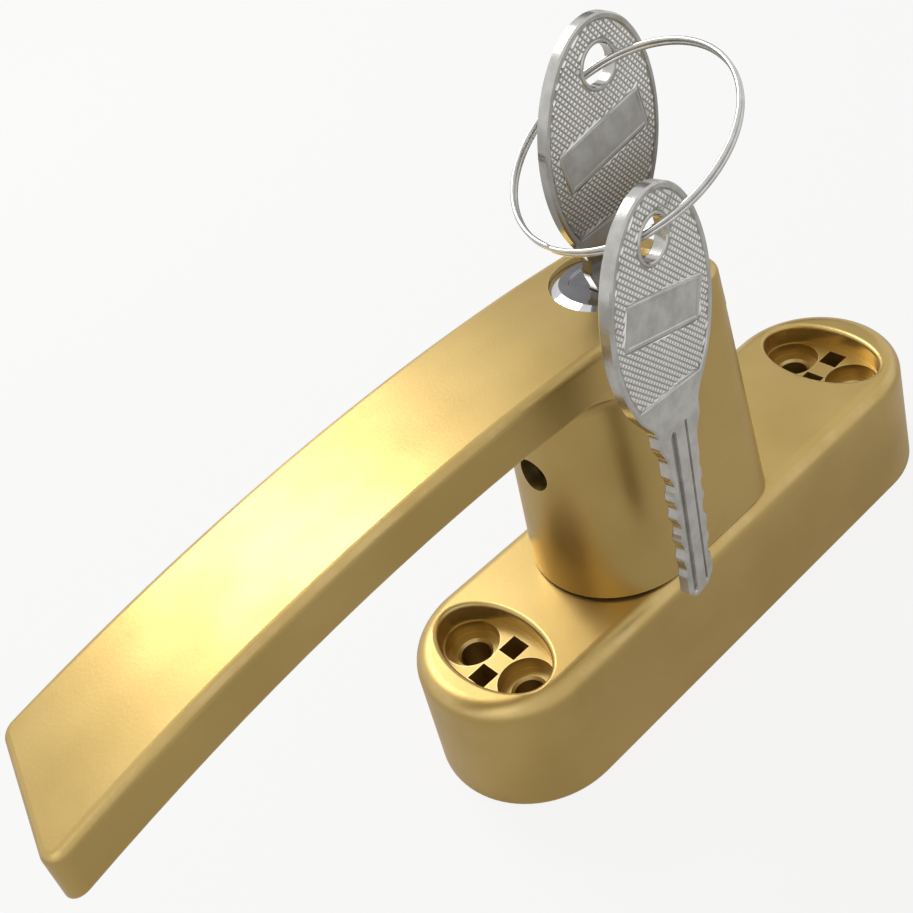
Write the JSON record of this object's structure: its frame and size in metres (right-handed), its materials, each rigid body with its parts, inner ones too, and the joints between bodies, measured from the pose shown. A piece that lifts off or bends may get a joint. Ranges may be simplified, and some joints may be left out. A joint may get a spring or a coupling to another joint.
{
  "type": "locking window handle",
  "caption": "Locking lever handle for a window: curved lever on a tapered hub with a key lock in its top, turning on a long round-ended base with open screw recesses, with keys on a ring.",
  "frame": {"origin": "the handle's turning axis where it meets the plane of the base's back face", "axes": "+X along the base, the lever points to -X when shut; +Y across the base; +Z out of the window frame along the turning axis"},
  "size_m": [0.149, 0.0405, 0.0946],
  "materials": {
    "satin_gold_casting": "satin champagne-gold anodised and sprayed casting",
    "polished_chrome": "polished chrome plating",
    "nickel_plated_steel": "nickel plated, stamped knurl on the bows",
    "nickel_plated_wire": "bright nickel plated wire",
    "zinc_plated_steel": "zinc plated",
    "hardened_steel": "ground and hardened",
    "spring_steel": "oiled spring steel",
    "sintered_steel": "oiled sintered steel",
    "brass": "machined",
    "bearing_plastic": "natural bearing plastic",
    "black_screw": "black oxide"
  },
  "bodies": {
    "base": {"base_housing": "satin_gold_casting", "back_plate": "zinc_plated_steel", "back_plate_screws": "zinc_plated_steel", "neck_bush": "bearing_plastic", "index_plate": "hardened_steel", "index_plate_screws": "zinc_plated_steel"},
    "handle": {"lever_and_hub": "satin_gold_casting", "hub_circlip": "spring_steel", "thrust_washer": "bearing_plastic", "drive_spindle": "zinc_plated_steel", "drive_pinion": "sintered_steel", "pinion_screw": "zinc_plated_steel", "detent_ball": "hardened_steel", "detent_spring": "spring_steel", "barrel_set_screw": "black_screw", "lock_barrel": "polished_chrome", "bolt_bush": "brass", "bolt_spring": "spring_steel"},
    "lock_plug_body": {"lock_plug": "polished_chrome", "wafer_tumblers": "brass", "plug_circlip": "spring_steel", "lock_cam": "zinc_plated_steel", "cam_screw": "zinc_plated_steel"},
    "bolt": {"lock_bolt": "hardened_steel"},
    "left_rack": {"left_drive_rack": "sintered_steel"},
    "right_rack": {"right_drive_rack": "sintered_steel"},
    "key": {"key_in_lock": "nickel_plated_steel"},
    "ring": {"key_ring": "nickel_plated_wire"},
    "hanging_key": {"spare_key": "nickel_plated_steel"}
  },
  "joints": [
    {"name": "handle_turn", "type": "hinge", "parent": "base", "child": "handle", "pos_m": [0, 0, 0], "axis": [0, 0, 1], "range_deg": [0, 90]},
    {"name": "left_rack_slide", "type": "slide", "parent": "base", "child": "left_rack", "axis": [1, 0, 0], "range_m": [-0.0111, 0]},
    {"name": "right_rack_slide", "type": "slide", "parent": "base", "child": "right_rack", "axis": [1, 0, 0], "range_m": [0, 0.0111]},
    {"name": "plug_turn", "type": "hinge", "parent": "handle", "child": "lock_plug_body", "pos_m": [-0.0026, 0, 0.06068], "axis": [0.1478, 0, 0.989], "range_deg": [0, 90]},
    {"name": "bolt_drop", "type": "slide", "parent": "handle", "child": "bolt", "axis": [0, 0, -1], "range_m": [0, 0.0033], "deforming": ["bolt_spring"]},
    {"name": "key_pull", "type": "slide", "parent": "lock_plug_body", "child": "key", "axis": [0.1478, 0, 0.989], "range_m": [0, 0.026]},
    {"name": "ring_swing", "type": "hinge", "parent": "key", "child": "ring", "pos_m": [0.00217, 0, 0.08808], "axis": [-0.6685, 0.6526, -0.3568], "range_deg": [0, 22]},
    {"name": "hanging_key_swing", "type": "hinge", "parent": "ring", "child": "hanging_key", "pos_m": [-0.015, -0.0214, 0.0811], "axis": [-0.6685, 0.6526, -0.3568], "range_deg": [0, 18]}
  ],
  "couplings": [
    {"joint": "left_rack_slide", "follows": "handle_turn", "m_per_rad": -0.007},
    {"joint": "right_rack_slide", "follows": "handle_turn", "m_per_rad": 0.007},
    {"joint": "bolt_drop", "follows": "plug_turn", "m_per_rad": 0.0020372}
  ]
}
